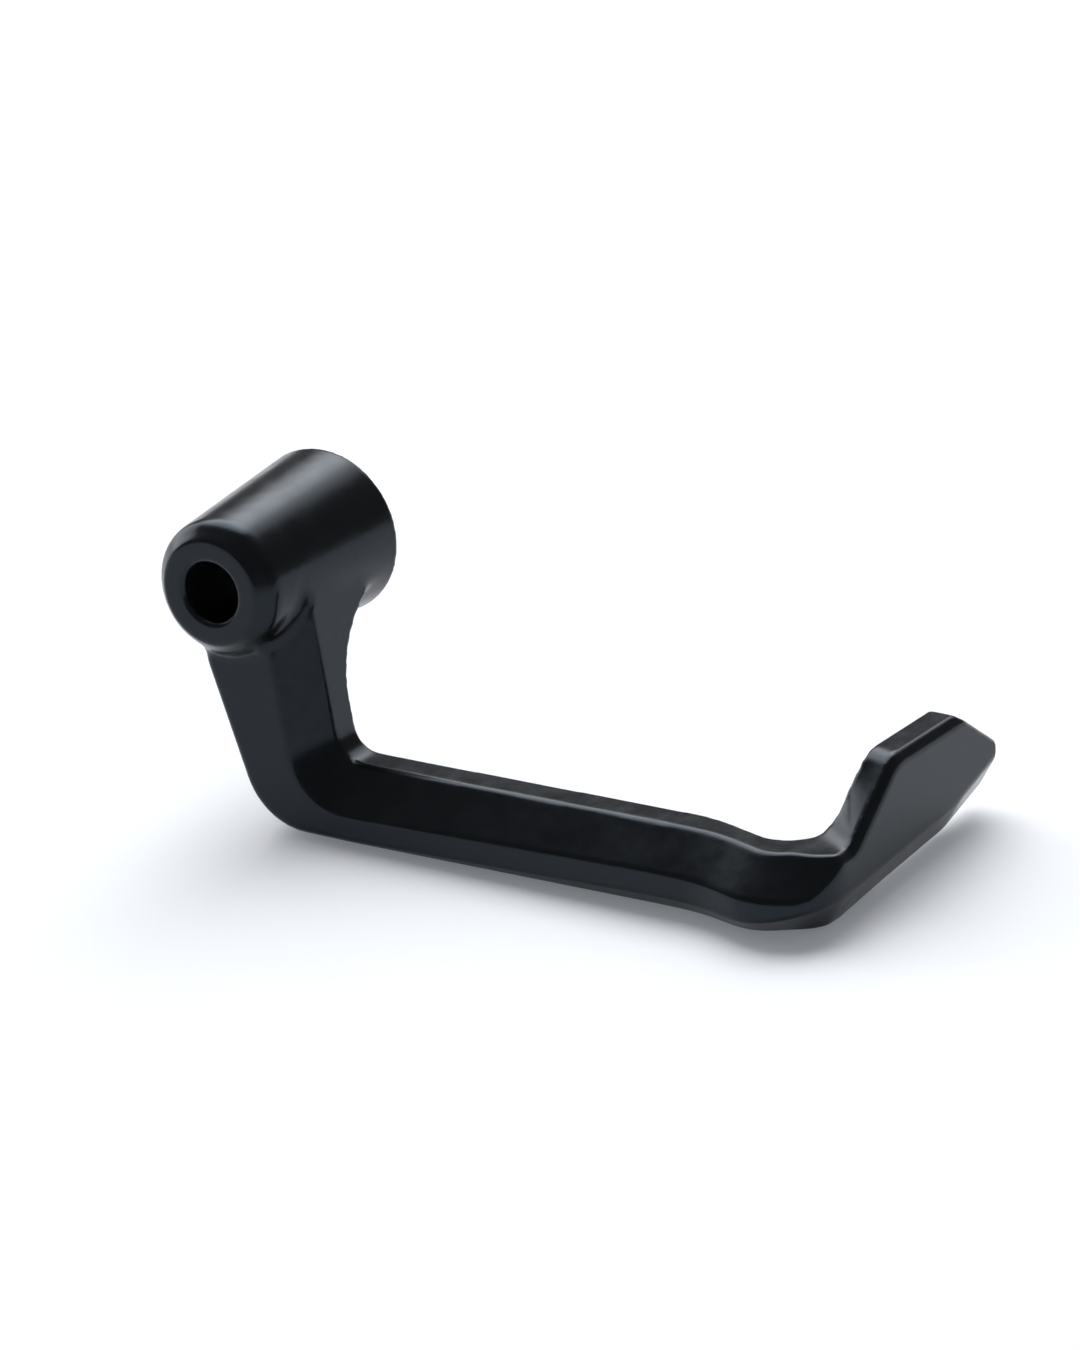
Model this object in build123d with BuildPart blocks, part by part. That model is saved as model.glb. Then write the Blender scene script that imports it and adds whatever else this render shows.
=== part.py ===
from build123d import *

import os
from math import atan2, cos, radians, sin, tan

# Moulded guard for the end of a motorbike's brake lever, one solid piece.
# Millimetres. Y runs along the bolt's axis, X runs forward along the arm and Z is up.
# The origin is on the bolt's axis, in the middle of the outboard face of the boss.

# Boss that a bolt clamps to the end of the handlebar
boss_length = 29.0
boss_outboard_diameter = 19.3
boss_inboard_diameter = 23.8
boss_bevel_depth = 2.2
boss_bevel_width = 2.1
bore_diameter = 8.5
bore_chamfer = 0.5

# Outboard side face that the leg and the arm share, and the width of both
side_setback = 3.2
bar_width = 10.4

# Leg from the boss down to the arm, whose front edge has a wide chamfer
underside_drop = 34.4
leg_front_offset = 10.1
leg_front_lean = 10.3
leg_side_offset = 5.7
leg_back_offset = 7.45
leg_back_lean = 20.3
back_bend_radius = 10.0
front_bend_radius = 4.0
side_bend_radius = 8.6
flare_radius = 14.0
flare_top_drop = 4.0
root_fillet = 0.9

# Six-sided section of the arm, at its root and where the step begins
upper_chamfer_depth = 5.4
upper_chamfer_root = 5.65
upper_chamfer_end = 4.9
side_strip = 3.4
lower_chamfer_root = 0.8
lower_chamfer_end = 2.4
arm_root = 20.0
arm_end = 71.5

# Step to the outboard side, then the turn into the paddle
step_angle = 17.0
step_radius = 20.0
step_straight = 4.1
inner_step_straight = 5.2
turn_radius = 10.0
inner_turn_radius = 5.5
narrowing_heading = 42.0
turn_lower_depth = 4.4

# Paddle that stands in front of the lever's tip, measured from the end of the turn
paddle_thickness = 5.0
ramp_thickness = 6.8
paddle_top_drop = 14.4
paddle_upper_chamfer = 1.3
paddle_upper_depth = 1.0
paddle_lower_chamfer = 4.9
paddle_lower_depth = 2.8
ramp_outer_foot = 2.1
ramp_inner_foot = 8.4
ramp_crest = 13.3
ramp_outer_radius = 4.4
ramp_inner_radius = 9.0
crest_radius = 4.4
keel_rise = 5.5
tip_rise_length = 10.5
foot_rise = 17.0
tip_fall_length = 10.2
top_fall = 35.0
paddle_length = 40.6
tip_radius = 1.5

# Distance between the sections that the curved part of the bar is drawn through
section_spacing = 2.0
# Share by which a chamfer's cut reaches past the faces that it leaves
overcut = 0.2
# Reach of the other cuts past what they shape
cut_margin = 1.0

underside = -underside_drop
paddle_top = -paddle_top_drop
far_side = side_setback + bar_width
arm_top_root = underside + lower_chamfer_root + side_strip + upper_chamfer_root
arm_top_end = underside + lower_chamfer_end + side_strip + upper_chamfer_end


def ease(start, end, share):
    """Goes from start to end, level at both."""
    share = min(max(share, 0.0), 1.0)
    return start + (end - start) * share * share * (3.0 - 2.0 * share)


def across_plane(point, heading):
    """Upright plane through a point of the plan, with x to the left of heading and y up."""
    return Plane(origin=point, x_dir=Vector(0, 0, 1).cross(heading), z_dir=heading)


# Plan of the outer side, from the end of the straight arm to the paddle
with BuildLine() as outer_plan:
    outer_bend = JernArc((arm_end, side_setback), (1, 0), step_radius, -step_angle)
    outer_slope = PolarLine(outer_bend @ 1, step_straight, direction=outer_bend % 1)
    outer_turn = JernArc(outer_slope @ 1, outer_slope % 1, turn_radius, 90 + step_angle)
paddle_face = (outer_turn @ 1).X
paddle_start = (outer_turn @ 1).Y

# Plan of the inner side, which starts its step where the thickness at the ramp asks
turn_sine = sin(radians(step_angle))
inner_reach = (step_radius + inner_turn_radius) * turn_sine + inner_turn_radius
inner_reach += inner_step_straight * cos(radians(step_angle))
inner_arm_end = paddle_face - ramp_thickness - inner_reach
with BuildLine() as inner_plan:
    inner_bend = JernArc((inner_arm_end, far_side), (1, 0), step_radius, -step_angle)
    inner_slope = PolarLine(inner_bend @ 1, inner_step_straight, direction=inner_bend % 1)
    inner_turn = JernArc(inner_slope @ 1, inner_slope % 1, inner_turn_radius, 90 + step_angle)

# Straight part of the arm, whose chamfers change evenly along it
bend_start = min(arm_end, inner_arm_end) - section_spacing
arm_ends = (
    (arm_root, arm_top_root, lower_chamfer_root, upper_chamfer_root),
    (bend_start, arm_top_end, lower_chamfer_end, upper_chamfer_end),
)
with BuildPart() as arm:
    for x, top, lower, upper in arm_ends:
        with BuildSketch(across_plane(Vector(x, side_setback), Vector(1, 0))):
            with BuildLine():
                Polyline(
                    (lower, underside),
                    (0, underside + lower),
                    (0, top - upper),
                    (upper_chamfer_depth, top),
                    (bar_width, top),
                    (bar_width, underside),
                    close=True,
                )
            make_face()
    loft(ruled=True)

# Places along the outer side where the chamfers of the step and the turn are drawn
spots = []
distance = 0
for edge in (Line((bend_start, side_setback), outer_bend @ 0), outer_bend, outer_slope, outer_turn):
    steps = max(round(edge.length / section_spacing), 1)
    for share in [step / steps for step in range(steps)]:
        spots.append((edge @ share, edge % share, distance + share * edge.length))
    distance += edge.length
spots.append((outer_turn @ 1, outer_turn % 1, distance))
turn_start = distance - outer_turn.length
slope_start = turn_start - outer_slope.length
mid_turn = distance - outer_turn.length / 2
narrowing_start = distance - radians(90 - narrowing_heading) * turn_radius

# Sections of the paddle, whose keel rises a little and then more steeply under the tip
paddle_back = paddle_face - paddle_thickness
crest_y = paddle_start + ramp_crest
end_y = paddle_start + paddle_length
foot_y = end_y - tip_rise_length
keel_slope = tan(radians(keel_rise))
fall_slope = tan(radians(top_fall))
foot_z = underside + (foot_y - paddle_start) * keel_slope
end_z = foot_z + tip_rise_length * tan(radians(foot_rise))
paddle_sections = (
    (paddle_start, inner_turn @ 1, underside),
    (crest_y, Vector(paddle_back, crest_y), underside + (crest_y - paddle_start) * keel_slope),
    (foot_y, Vector(paddle_back, foot_y), foot_z),
    (end_y, Vector(paddle_back, end_y), end_z),
)

# Outlines from the side that the step, the turn and the paddle are cut to: past the step, at the
# paddle's back, behind its upper chamfer and at its face. The ramp starts further on at the back,
# so that it twists as it rises, and past the step it lies clear of the bar.
inner_x = paddle_face - ramp_thickness
step_x = bend_start - cut_margin
outline_start = outer_plan.line.bounding_box().min.Y - cut_margin
ramp_skew = (ramp_inner_foot - ramp_outer_foot) / (ramp_thickness - paddle_upper_depth)
outlines = (
    (step_x, ramp_inner_foot, ramp_inner_radius, 0, ramp_skew * (inner_x - step_x)),
    (inner_x, ramp_inner_foot, ramp_inner_radius, 0, 0),
    (paddle_face - paddle_upper_depth, ramp_outer_foot, ramp_outer_radius, 0, 0),
    (paddle_face, ramp_outer_foot, ramp_outer_radius, paddle_upper_chamfer, 0),
)

# Step to the outboard side, the turn and the paddle
with BuildPart() as front:
    for y, inner, bottom in paddle_sections:
        across = inner - Vector(paddle_face, y)
        stretch = across.length / (paddle_face - inner.X)
        with BuildSketch(across_plane(Vector(paddle_face, y), across.cross(Vector(0, 0, 1)))):
            with BuildLine():
                Polyline(
                    (paddle_lower_depth * stretch, bottom),
                    (0, bottom + paddle_lower_chamfer),
                    (0, paddle_top),
                    (across.length, paddle_top),
                    (across.length, bottom),
                    close=True,
                )
            make_face()
    loft(ruled=True)
    with BuildSketch(Plane.XY.offset(underside)):
        with BuildLine():
            add(outer_plan.line)
            add(inner_plan.line)
            Polyline(outer_bend @ 0, (bend_start, side_setback), (bend_start, far_side), inner_bend @ 0)
            Line(outer_turn @ 1, inner_turn @ 1)
        make_face()
    extrude(amount=paddle_top - underside)

    # Ramp up from the arm, fall of the top and rounded tip
    for x, ramp_foot, foot_radius, drop, slide in outlines:
        ramp_tilt = atan2(paddle_top - arm_top_end, ramp_crest - ramp_foot)
        shift = slide + drop * tan(ramp_tilt / 2)
        foot = (paddle_start + ramp_foot + shift, arm_top_end - drop)
        crest = (crest_y + shift, paddle_top - drop)
        tip_upper = (end_y + slide, paddle_top - tip_fall_length * fall_slope)
        tip_lower = (end_y + slide, end_z)
        with BuildSketch(Plane.YZ.offset(x)):
            with BuildLine():
                Polyline(
                    (outline_start, underside - cut_margin),
                    (outline_start, arm_top_end - drop),
                    foot,
                    crest,
                    (end_y + slide - tip_fall_length + drop / fall_slope, paddle_top - drop),
                    tip_upper,
                    tip_lower,
                    (foot_y + slide, foot_z),
                    (foot_y + slide, underside - cut_margin),
                    close=True,
                )
            make_face()
            fillet(vertices().sort_by_distance(foot)[0], foot_radius)
            fillet(vertices().sort_by_distance(crest)[0], crest_radius)
            fillet([vertices().sort_by_distance(corner)[0] for corner in (tip_upper, tip_lower)], tip_radius)
    loft(ruled=True, mode=Mode.INTERSECT)

    # Upper chamfer, which narrows round the turn
    for point, heading, spot in spots:
        narrowed = (spot - narrowing_start) / (distance - narrowing_start)
        upper = ease(upper_chamfer_end, paddle_upper_chamfer, narrowed)
        depth = ease(upper_chamfer_depth, paddle_upper_depth, narrowed)
        with BuildSketch(across_plane(point, heading)):
            with BuildLine():
                Polyline(
                    (-overcut * depth, arm_top_end - (1 + overcut) * upper),
                    (-overcut * depth, arm_top_end + overcut * upper),
                    ((1 + overcut) * depth, arm_top_end + overcut * upper),
                    close=True,
                )
            make_face()
    loft(mode=Mode.SUBTRACT)

    # Lower chamfer, which is deepest half way round the turn
    for point, heading, spot in spots:
        lower = ease(lower_chamfer_end, paddle_lower_chamfer, (spot - turn_start) / outer_turn.length)
        depth = ease(lower_chamfer_end, turn_lower_depth, (spot - slope_start) / (mid_turn - slope_start))
        depth += ease(0, paddle_lower_depth - turn_lower_depth, (spot - mid_turn) / (distance - mid_turn))
        with BuildSketch(across_plane(point, heading)) as lower_cut:
            with BuildLine():
                Polyline(
                    (-overcut * depth, underside + (1 + overcut) * lower),
                    (-overcut * depth, underside - overcut * lower),
                    ((1 + overcut) * depth, underside - overcut * lower),
                    close=True,
                )
            make_face()
    loft(mode=Mode.SUBTRACT)
    extrude(lower_cut.sketch, amount=paddle_thickness, mode=Mode.SUBTRACT)

# Outline of the leg from the side, at the side face and at the back of the front chamfer
front_lean = radians(leg_front_lean)
back_lean = radians(leg_back_lean)
back_corner = ((-leg_back_offset - underside * sin(back_lean)) / cos(back_lean), underside)
back_top = (-leg_back_offset / cos(back_lean), 0)
leg_outlines = (
    (side_setback, leg_side_offset, arm_top_root - upper_chamfer_root, side_bend_radius),
    (side_setback + upper_chamfer_depth, leg_front_offset, arm_top_root, front_bend_radius),
)
with BuildPart() as leg:
    for y, front_offset, arm_top, bend_radius in leg_outlines:
        front_top = (front_offset * cos(front_lean), front_offset * sin(front_lean))
        front_corner = ((front_offset - arm_top * sin(front_lean)) / cos(front_lean), arm_top)
        with BuildSketch(Plane.XZ.offset(-y)) as outline:
            with BuildLine():
                Polyline(
                    back_top,
                    front_top,
                    front_corner,
                    (arm_root, arm_top),
                    (arm_root, underside),
                    back_corner,
                    close=True,
                )
            make_face()
            fillet(vertices().sort_by_distance(front_corner)[0], bend_radius)
            fillet(vertices().sort_by_distance(back_corner)[0], back_bend_radius)
    loft(ruled=True)
    extrude(outline.sketch, amount=side_setback + upper_chamfer_depth - boss_length)
    with BuildSketch(Plane.YZ):
        with BuildLine():
            flare = Polyline(
                (far_side + flare_radius, -flare_top_drop),
                (boss_length, -flare_top_drop),
                (boss_length, underside),
                (far_side, underside),
                (far_side, -flare_top_drop - flare_radius),
            )
            RadiusArc(flare @ 1, flare @ 0, flare_radius)
        make_face()
    extrude(amount=arm_root, both=True, mode=Mode.SUBTRACT)
    side_edges = faces().sort_by(Axis.Y)[0].edges()
    back_edges = [
        side_edges.sort_by(Axis.Z)[0],
        side_edges.filter_by(GeomType.CIRCLE).sort_by(Axis.Z)[0],
        side_edges.sort_by(Axis.X)[0],
    ]
    chamfer(back_edges, lower_chamfer_root)

# Whole guard
with BuildPart() as guard:
    add(leg.part)
    add(arm.part)
    add(front.part)
    with BuildSketch(Plane.XY):
        with BuildLine():
            Polyline(
                (0, 0),
                (boss_outboard_diameter / 2 - boss_bevel_width, 0),
                (boss_outboard_diameter / 2, boss_bevel_depth),
                (boss_inboard_diameter / 2, boss_length),
                (0, boss_length),
                close=True,
            )
        make_face()
    revolve(axis=Axis.Y)
    boss_side = faces().filter_by(GeomType.CONE).sort_by(SortBy.AREA)[-1]
    root_edges = boss_side.edges().filter_by(lambda edge: edge.center().Z < -root_fillet)
    fillet(root_edges.filter_by(lambda edge: edge.center().X < leg_side_offset / 2), root_fillet)
    with BuildSketch(Plane.XY):
        with BuildLine():
            Polyline(
                (0, 0),
                (bore_diameter / 2 + bore_chamfer, 0),
                (bore_diameter / 2, bore_chamfer),
                (bore_diameter / 2, boss_length - bore_chamfer),
                (bore_diameter / 2 + bore_chamfer, boss_length),
                (0, boss_length),
                close=True,
            )
        make_face()
    revolve(axis=Axis.Y, mode=Mode.SUBTRACT)

os.makedirs("parts", exist_ok=True)
guard.part.label = "lever_guard"
export_step(guard.part, "parts/lever_guard.step")
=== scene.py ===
# %% [markdown]
# # A moulded guard for a brake lever
# The guard is one piece of black nylon: a bored boss that a bolt clamps to the end of the
# handlebar, a leg, an arm with a wide chamfer, and an upright paddle in front of the lever's tip.
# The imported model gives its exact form, in metres. This lesson rounds its edges as a mould does,
# gives it a satin finish with a fine grain, and lights it on a white table.

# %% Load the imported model
from math import cos, hypot, radians, sin

import bmesh
import bpy
from mathutils import Matrix, Vector
from mathutils.bvhtree import BVHTree
from mathutils.kdtree import KDTree


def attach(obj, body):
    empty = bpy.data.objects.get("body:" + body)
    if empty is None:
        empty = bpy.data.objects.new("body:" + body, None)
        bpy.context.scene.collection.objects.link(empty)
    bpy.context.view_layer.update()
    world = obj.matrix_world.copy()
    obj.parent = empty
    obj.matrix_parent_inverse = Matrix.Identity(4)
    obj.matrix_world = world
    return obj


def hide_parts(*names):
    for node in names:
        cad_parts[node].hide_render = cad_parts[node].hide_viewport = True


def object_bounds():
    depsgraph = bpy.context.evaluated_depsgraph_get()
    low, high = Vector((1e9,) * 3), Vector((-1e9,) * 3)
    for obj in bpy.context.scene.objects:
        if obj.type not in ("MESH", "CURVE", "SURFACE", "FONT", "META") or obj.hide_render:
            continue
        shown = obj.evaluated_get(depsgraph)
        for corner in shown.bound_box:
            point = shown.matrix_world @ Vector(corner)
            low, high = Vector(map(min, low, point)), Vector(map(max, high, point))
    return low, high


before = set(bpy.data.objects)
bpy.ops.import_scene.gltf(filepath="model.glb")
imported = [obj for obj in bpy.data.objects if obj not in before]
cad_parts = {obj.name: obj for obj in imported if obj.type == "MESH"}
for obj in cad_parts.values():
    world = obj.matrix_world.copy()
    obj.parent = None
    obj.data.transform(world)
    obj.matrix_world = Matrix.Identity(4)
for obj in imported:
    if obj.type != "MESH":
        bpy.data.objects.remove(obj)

MM_PER_METRE = 1000

cad_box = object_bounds()
scene = bpy.context.scene
low, high = (Vector(corner) for corner in cad_box)
print("The guard measures", [round(MM_PER_METRE * side, 1) for side in high - low], "mm")

# %% [markdown]
# ## The white table
# The guard lies on a large white sheet, so a plane of one face is enough. It could be lit until it
# turns white, but the guard would then be too bright as well. So the sheet is nearly white, and it
# adds a little light of its own, only for rays from the camera, a reflection or a refraction. It
# still takes the guard's shadow. A faint cloudiness keeps it from looking like an empty page.
#
# A loose guard doesn't lie on its whole underside: it tips over the inboard edge of the turn,
# towards the paddle. The model can't turn, because its axes are fixed, so the table is tipped
# instead.

# %% Make the table
TABLE_SIZE = 12.0
TABLE_TIP = radians(4.5)
TURN_INBOARD_EDGE = 0.0156
TABLE_PALE = (0.90, 0.90, 0.90, 1.0)
TABLE_COOL = (0.86, 0.87, 0.89, 1.0)
TABLE_GLOW = 0.17
TABLE_GLOW_COLOUR = (0.87, 0.92, 1.0, 1.0)
CLOUD_SCALE = 9.0


def white_table_finish():
    finish = bpy.data.materials.new("white_table")
    finish.use_nodes = True
    nodes, links = finish.node_tree.nodes, finish.node_tree.links
    nodes.clear()
    place = nodes.new("ShaderNodeTexCoord")
    clouds = nodes.new("ShaderNodeTexNoise")
    clouds.inputs["Scale"].default_value = CLOUD_SCALE
    links.new(place.outputs["Object"], clouds.inputs["Vector"])
    colour = nodes.new("ShaderNodeMix")
    colour.data_type = "RGBA"
    colour.inputs["A"].default_value = TABLE_PALE
    colour.inputs["B"].default_value = TABLE_COOL
    links.new(clouds.outputs["Fac"], colour.inputs["Factor"])
    white = nodes.new("ShaderNodeBsdfDiffuse")
    links.new(colour.outputs["Result"], white.inputs["Color"])
    path = nodes.new("ShaderNodeLightPath")
    seen = path.outputs["Is Camera Ray"]
    for ray in ("Is Glossy Ray", "Is Transmission Ray"):
        either = nodes.new("ShaderNodeMath")
        either.operation = "MAXIMUM"
        links.new(seen, either.inputs[0])
        links.new(path.outputs[ray], either.inputs[1])
        seen = either.outputs["Value"]
    level = nodes.new("ShaderNodeMath")
    level.operation = "MULTIPLY"
    level.inputs[1].default_value = TABLE_GLOW
    links.new(seen, level.inputs[0])
    glow = nodes.new("ShaderNodeEmission")
    glow.inputs["Color"].default_value = TABLE_GLOW_COLOUR
    links.new(level.outputs["Value"], glow.inputs["Strength"])
    both = nodes.new("ShaderNodeAddShader")
    links.new(white.outputs["BSDF"], both.inputs[0])
    links.new(glow.outputs["Emission"], both.inputs[1])
    out = nodes.new("ShaderNodeOutputMaterial")
    links.new(both.outputs["Shader"], out.inputs["Surface"])
    return finish


sheet = bmesh.new()
bmesh.ops.create_grid(sheet, x_segments=1, y_segments=1, size=TABLE_SIZE / 2)
tip = Matrix.Rotation(TABLE_TIP, 3, "X")
bmesh.ops.rotate(sheet, verts=sheet.verts, cent=(0.0, 0.0, 0.0), matrix=tip)
bmesh.ops.translate(sheet, verts=sheet.verts, vec=(0.0, TURN_INBOARD_EDGE, low.z))
table_mesh = bpy.data.meshes.new("table")
sheet.to_mesh(table_mesh)
sheet.free()
table_mesh.materials.append(white_table_finish())
table = bpy.data.objects.new("table", table_mesh)
scene.collection.objects.link(table)
print("The table meets the guard at a height of", round(MM_PER_METRE * low.z, 1), "mm")

# %% [markdown]
# ## Moulded grain
# The wall of the mould leaves a fine grain on the nylon, which breaks up its highlights, and
# handling leaves slow changes in its gloss. Both could be painted as an image. Noise on the piece's
# own Object coordinates needs no unwrapping and stays the same size on every face, so a node group
# puts out one noise for the grain, one for the slow drift, and one for fine scuffs. The scuffs are
# stretched in the direction of the bolt by a mapping, which also sets their scale.

# %% Make the grain
GRAIN_SCALE, GRAIN_DETAIL = 2300.0, 3.0
DRIFT_SCALE, DRIFT_DETAIL = 300.0, 4.0
SCUFF_SCALE, SCUFF_DETAIL = (900.0, 260.0, 900.0), 5.0
SCUFF_FINENESS = 0.65
SCALED_BY_MAPPING = 1.0


def grain_group():
    group = bpy.data.node_groups.new("moulded_grain", "ShaderNodeTree")
    group.interface.new_socket("Vector", in_out="INPUT", socket_type="NodeSocketVector")
    for name in ("Grain", "Drift", "Scuffs"):
        group.interface.new_socket(name, in_out="OUTPUT", socket_type="NodeSocketFloat")
    nodes, links = group.nodes, group.links
    inside = nodes.new("NodeGroupInput")
    outside = nodes.new("NodeGroupOutput")
    for name, scale, detail in (
        ("Grain", GRAIN_SCALE, GRAIN_DETAIL),
        ("Drift", DRIFT_SCALE, DRIFT_DETAIL),
    ):
        noise = nodes.new("ShaderNodeTexNoise")
        noise.inputs["Scale"].default_value = scale
        noise.inputs["Detail"].default_value = detail
        links.new(inside.outputs["Vector"], noise.inputs["Vector"])
        links.new(noise.outputs["Fac"], outside.inputs[name])
    stretch = nodes.new("ShaderNodeMapping")
    stretch.inputs["Scale"].default_value = SCUFF_SCALE
    links.new(inside.outputs["Vector"], stretch.inputs["Vector"])
    scuffs = nodes.new("ShaderNodeTexNoise")
    scuffs.inputs["Scale"].default_value = SCALED_BY_MAPPING
    scuffs.inputs["Detail"].default_value = SCUFF_DETAIL
    scuffs.inputs["Roughness"].default_value = SCUFF_FINENESS
    links.new(stretch.outputs["Vector"], scuffs.inputs["Vector"])
    links.new(scuffs.outputs["Fac"], outside.inputs["Scuffs"])
    return group


moulded_grain = grain_group()
print("The grain group has", len(moulded_grain.nodes), "nodes")

# %% [markdown]
# ## Satin black nylon
# The nylon is close to black, and its form shows only through what it reflects: the white table in
# the upright faces and the light in the upper ones. So the base colour is very dark and changes a
# little with the drift. The roughness follows the scuffs, and the drift moves it slightly up and
# down. The grain is a shallow bump.

# %% Make the nylon
NYLON_DARK = (0.0038, 0.0041, 0.0046, 1.0)
NYLON_PALE = (0.0080, 0.0087, 0.0097, 1.0)
NYLON_IOR = 1.38
NYLON_SHEEN_TINT = (0.68, 0.83, 1.0, 1.0)
SCUFF_RANGE = (0.25, 0.75)
SCUFF_ROUGHNESS = (0.18, 0.25)
DRIFT_RANGE = (0.35, 0.65)
DRIFT_ROUGHNESS = (-0.03, 0.03)
GRAIN_STRENGTH = 0.035
GRAIN_DEPTH = 0.0001


def mapped(nodes, links, noise, noise_range, roughness_range):
    mapping = nodes.new("ShaderNodeMapRange")
    ends = ("From Min", "From Max", "To Min", "To Max")
    for end, value in zip(ends, noise_range + roughness_range):
        mapping.inputs[end].default_value = value
    links.new(noise, mapping.inputs["Value"])
    return mapping.outputs["Result"]


def satin_nylon():
    finish = bpy.data.materials.new("satin_black_nylon")
    finish.use_nodes = True
    nodes, links = finish.node_tree.nodes, finish.node_tree.links
    shader = nodes["Principled BSDF"]
    shader.inputs["IOR"].default_value = NYLON_IOR
    shader.inputs["Specular Tint"].default_value = NYLON_SHEEN_TINT
    place = nodes.new("ShaderNodeTexCoord")
    grain = nodes.new("ShaderNodeGroup")
    grain.node_tree = moulded_grain
    links.new(place.outputs["Object"], grain.inputs["Vector"])
    colour = nodes.new("ShaderNodeMix")
    colour.data_type = "RGBA"
    colour.inputs["A"].default_value = NYLON_DARK
    colour.inputs["B"].default_value = NYLON_PALE
    links.new(grain.outputs["Drift"], colour.inputs["Factor"])
    links.new(colour.outputs["Result"], shader.inputs["Base Color"])
    scuffed = mapped(nodes, links, grain.outputs["Scuffs"], SCUFF_RANGE, SCUFF_ROUGHNESS)
    handled = mapped(nodes, links, grain.outputs["Drift"], DRIFT_RANGE, DRIFT_ROUGHNESS)
    both = nodes.new("ShaderNodeMath")
    both.operation = "ADD"
    links.new(scuffed, both.inputs[0])
    links.new(handled, both.inputs[1])
    links.new(both.outputs["Value"], shader.inputs["Roughness"])
    bump = nodes.new("ShaderNodeBump")
    bump.inputs["Strength"].default_value = GRAIN_STRENGTH
    bump.inputs["Distance"].default_value = GRAIN_DEPTH
    links.new(grain.outputs["Grain"], bump.inputs["Height"])
    links.new(bump.outputs["Normal"], shader.inputs["Normal"])
    return finish


nylon = satin_nylon()
print("The nylon has", len(nylon.node_tree.nodes), "nodes")

# %% [markdown]
# ## An even skin
# A moulding has no sharp edge: the mould's own edges are rounded, and the boss flows into the leg
# in a soft hollow. A bevel rounds clean edges well, but at the root of the boss many small faces
# meet and their bevels would run into each other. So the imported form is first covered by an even
# skin of small squares, with a voxel remesh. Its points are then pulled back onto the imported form,
# which makes every flat face exact again.

# %% Cover the form with an even skin
SKIN_STEP = 0.0003
SAME_POINT = 1e-6

form = bmesh.new()
form.from_mesh(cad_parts["lever_guard"].data)
bmesh.ops.remove_doubles(form, verts=form.verts, dist=SAME_POINT)


def even_skin(form):
    merged = bpy.data.meshes.new("merged")
    form.to_mesh(merged)
    holder = bpy.data.objects.new("merged", merged)
    scene.collection.objects.link(holder)
    remesh = holder.modifiers.new("even", "REMESH")
    remesh.mode = "VOXEL"
    remesh.voxel_size = SKIN_STEP
    depsgraph = bpy.context.evaluated_depsgraph_get()
    even = bpy.data.meshes.new_from_object(holder.evaluated_get(depsgraph))
    skin = bmesh.new()
    skin.from_mesh(even)
    bpy.data.objects.remove(holder)
    for used in (merged, even):
        bpy.data.meshes.remove(used)
    return skin


skin = even_skin(form)
surface = BVHTree.FromBMesh(form)
for vert in skin.verts:
    vert.co = surface.find_nearest(vert.co)[0]
print("The skin has", len(skin.faces), "squares")

# %% [markdown]
# ## What each edge asks for
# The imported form's edges are of four kinds. At the root of the boss the hollow ones become a wide
# soft fillet. The rim of the boss's outboard bevel becomes well rounded. The many slight ones are
# only facets of a curved face, and have to disappear. The rest are real edges. Most of these get a
# radius of about half a millimetre. The border of the boss's outboard face and the long edge
# between the arm's top and its wide chamfer get a larger one. The mouths of the bore and the front
# edge of the paddle's top get a smaller one. Each edge is marked by points along it, with the reach
# that its rounding may have.

# %% Mark the edges
NO_BEND = 0.0
FLAT_BEND = radians(0.3)
SHARP_BEND = radians(14.0)
FACES_UP = 0.9
FACES_THAT_WAY = 0.5
LEG_END = 0.020
BORE_ZONE = 0.0053
RIM_ZONE = 0.010
RIM_FACE = 0.001
RIM_DEPTH = 0.003
PADDLE_TOP_START = 0.026
OUTBOARD_ROOT = 0.009
FACET_REACH = 0.0008
BORE_REACH = 0.0003
EDGE_REACH = 0.00055
WIDE_EDGE_REACH = 0.0009
PADDLE_TOP_REACH = 0.0003
RIM_REACH = 0.0011
ROOT_REACH = 0.0022
INBOARD_ROOT_REACH = 0.0012
MARK_STEP = 0.00015


def kind_and_reach(edge, bend):
    if bend < SHARP_BEND:
        return "facet", FACET_REACH
    middle = (edge.verts[0].co + edge.verts[1].co) / 2
    if hypot(middle.x, middle.z) < BORE_ZONE:
        return "edge", BORE_REACH
    if not edge.is_convex and middle.x < LEG_END:
        return "root", ROOT_REACH if middle.y < OUTBOARD_ROOT else INBOARD_ROOT_REACH
    if middle.y < RIM_DEPTH and middle.x < RIM_ZONE and middle.z > -RIM_ZONE:
        return ("rim", RIM_REACH) if middle.y > RIM_FACE else ("edge", WIDE_EDGE_REACH)
    side, top = sorted((face.normal for face in edge.link_faces), key=lambda normal: normal.z)
    if middle.x > LEG_END and top.z > FACES_UP:
        if side.y < -FACES_THAT_WAY:
            return "edge", WIDE_EDGE_REACH
        if side.x > FACES_THAT_WAY and middle.y > PADDLE_TOP_START:
            return "edge", PADDLE_TOP_REACH
    return "edge", EDGE_REACH


marks = {"root": [], "rim": [], "facet": [], "edge": []}
for edge in form.edges:
    bend = edge.calc_face_angle(NO_BEND)
    if bend < FLAT_BEND:
        continue
    kind, reach = kind_and_reach(edge, bend)
    start, end = (vert.co for vert in edge.verts)
    steps = max(int(edge.calc_length() / MARK_STEP), 1)
    marks[kind] += [(start.lerp(end, step / steps), reach) for step in range(steps + 1)]
form.free()
print("Marks:", {kind: len(points) for kind, points in marks.items()})

# %% [markdown]
# ## Soft edges
# A point of the skin that lies within a mark's reach is free to move. Smoothing draws each free
# point towards the middle of its neighbours, so the more rounds it gets, the rounder the edge
# becomes, while the flat faces stay where they are. The root of the boss gets most rounds, then the
# facets, then the rim, and the other edges only a few.

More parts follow.
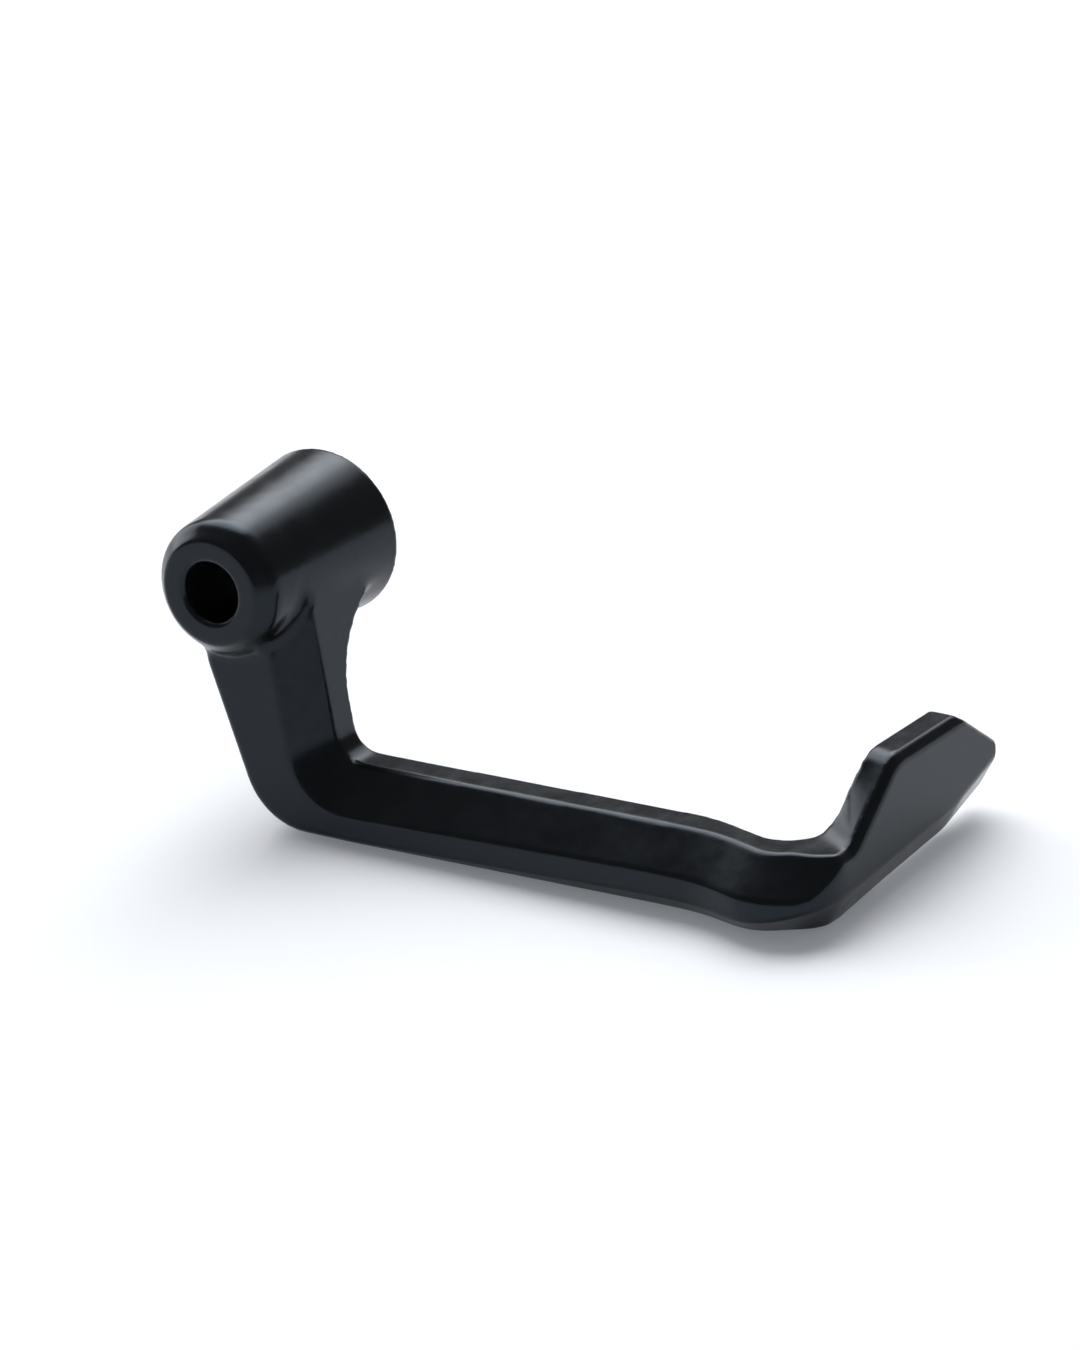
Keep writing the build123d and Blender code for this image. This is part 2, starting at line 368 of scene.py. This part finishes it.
# %% Smooth the free points
SMOOTH_SHARE = 0.5
ROOT_ROUNDS = 60
RIM_ROUNDS = 14
FACET_ROUNDS = 24
EDGE_ROUNDS = 9


def near_marks(points):
    tree = KDTree(len(points))
    for index, (place, _) in enumerate(points):
        tree.insert(place, index)
    tree.balance()
    found = set()
    for vert in skin.verts:
        _, index, distance = tree.find(vert.co)
        _, reach = points[index]
        if distance < reach:
            found.add(vert)
    return found


def smooth(free, rounds):
    ordered = [vert for vert in skin.verts if vert in free]
    every_way = {"use_axis_x": True, "use_axis_y": True, "use_axis_z": True}
    for _ in range(rounds):
        bmesh.ops.smooth_vert(skin, verts=ordered, factor=SMOOTH_SHARE, **every_way)


free = {kind: near_marks(points) for kind, points in marks.items()}
smooth(free["root"], ROOT_ROUNDS)
smooth(free["rim"], RIM_ROUNDS)
smooth(free["facet"] - free["edge"] - free["rim"] - free["root"], FACET_ROUNDS)
smooth(free["edge"] | free["rim"] | free["root"], EDGE_ROUNDS)
print("Free points:", {kind: len(points) for kind, points in free.items()})

# %% [markdown]
# ## The finished guard
# The flat faces no longer need their squares, so a limited dissolve joins them into large faces and
# leaves the small ones at the rounded edges. All faces are shaded smooth. A Weighted Normal
# modifier lets the large flat faces set the shading at their borders, so that they look flat.

# %% Finish the guard
FLAT_JOIN = radians(0.15)
LARGE_FACE_WEIGHT = 80

bmesh.ops.dissolve_limit(skin, angle_limit=FLAT_JOIN, verts=skin.verts, edges=skin.edges)
for face in skin.faces:
    face.smooth = True
guard_mesh = bpy.data.meshes.new("guard")
skin.to_mesh(guard_mesh)
skin.free()
guard_mesh.materials.append(nylon)
guard = bpy.data.objects.new("guard", guard_mesh)
scene.collection.objects.link(guard)
weigh = guard.modifiers.new("weigh", "WEIGHTED_NORMAL")
weigh.keep_sharp = False
weigh.weight = LARGE_FACE_WEIGHT
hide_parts("lever_guard")
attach(guard, "root")
print("The guard has", len(guard_mesh.polygons), "faces")

# %% [markdown]
# ## Studio light
# Three large soft lights stand in a dim room: one behind the guard, one high over it and a little
# to the left, and one low at the left, which the paddle's ramp reflects. They draw the bright band
# along the boss and leave the wide chamfer, which faces the dim side, dark. Area lamps could do
# that too, but lights in the world are far away, so they light the whole table evenly. Each is a
# disc on the sky with a soft border, made from the angle to its middle.

# %% Light the scene
# Each light: the way to its middle, the angles where its border ends and starts, its strength.
SOFT_LIGHTS = (
    (Vector((-0.10, 0.78, 0.62)), radians(23.0), radians(6.0), 2.4),
    (Vector((-0.41, 0.35, 0.84)), radians(34.0), radians(19.0), 4.1),
    (Vector((-0.95, 0.12, 0.30)), radians(24.0), radians(12.0), 2.6),
)
ROOM_LIGHT = 0.15
LIGHT_COLOUR = (0.97, 0.98, 1.0, 1.0)


def soft_light_world():
    world = bpy.data.worlds.new("soft_lights")
    world.use_nodes = True
    nodes, links = world.node_tree.nodes, world.node_tree.links
    sky = nodes["Background"]
    sky.inputs["Color"].default_value = LIGHT_COLOUR
    place = nodes.new("ShaderNodeTexCoord")
    room = nodes.new("ShaderNodeValue")
    room.outputs["Value"].default_value = ROOM_LIGHT
    total = room.outputs["Value"]
    for heading, outer, inner, strength in SOFT_LIGHTS:
        toward = nodes.new("ShaderNodeVectorMath")
        toward.operation = "DOT_PRODUCT"
        toward.inputs[1].default_value = heading.normalized()
        links.new(place.outputs["Generated"], toward.inputs[0])
        disc = nodes.new("ShaderNodeMapRange")
        disc.interpolation_type = "SMOOTHSTEP"
        disc.inputs["From Min"].default_value = cos(outer)
        disc.inputs["From Max"].default_value = cos(inner)
        disc.inputs["To Max"].default_value = strength
        links.new(toward.outputs["Value"], disc.inputs["Value"])
        add = nodes.new("ShaderNodeMath")
        add.operation = "ADD"
        links.new(total, add.inputs[0])
        links.new(disc.outputs["Result"], add.inputs[1])
        total = add.outputs["Value"]
    links.new(total, sky.inputs["Strength"])
    return world


scene.world = soft_light_world()
print("The world has", len(SOFT_LIGHTS), "soft lights")

# %% [markdown]
# ## Camera
# The camera looks down from the front right with a long lens, which keeps the arm's long edges
# nearly parallel, and it is turned by a degree and a half about its own axis.

# %% Place the camera
AIM = Vector((0.03858, 0.02275, -0.0125))
AZIMUTH = radians(32.814)
ELEVATION = radians(21.076)
ROLL = radians(-1.506)
DISTANCE = 1.230
SENSOR_WIDTH = 36.0
LENS_LENGTH = 300.0
FARTHEST_SEEN = 100.0

right = Vector((cos(AZIMUTH), sin(AZIMUTH), 0.0))
level = cos(ELEVATION)
back = Vector((sin(AZIMUTH) * level, -cos(AZIMUTH) * level, sin(ELEVATION)))
up = back.cross(right)
lens = bpy.data.cameras.new("camera")
lens.sensor_fit = "HORIZONTAL"
lens.sensor_width = SENSOR_WIDTH
lens.lens = LENS_LENGTH
lens.clip_end = FARTHEST_SEEN
camera = bpy.data.objects.new("camera", lens)
scene.collection.objects.link(camera)
turn = Matrix((right, up, back)).transposed().to_4x4() @ Matrix.Rotation(ROLL, 4, "Z")
camera.matrix_world = Matrix.Translation(AIM + DISTANCE * back) @ turn
scene.camera = camera
scene.view_settings.view_transform = "Standard"
print("The camera is", DISTANCE, "m away")
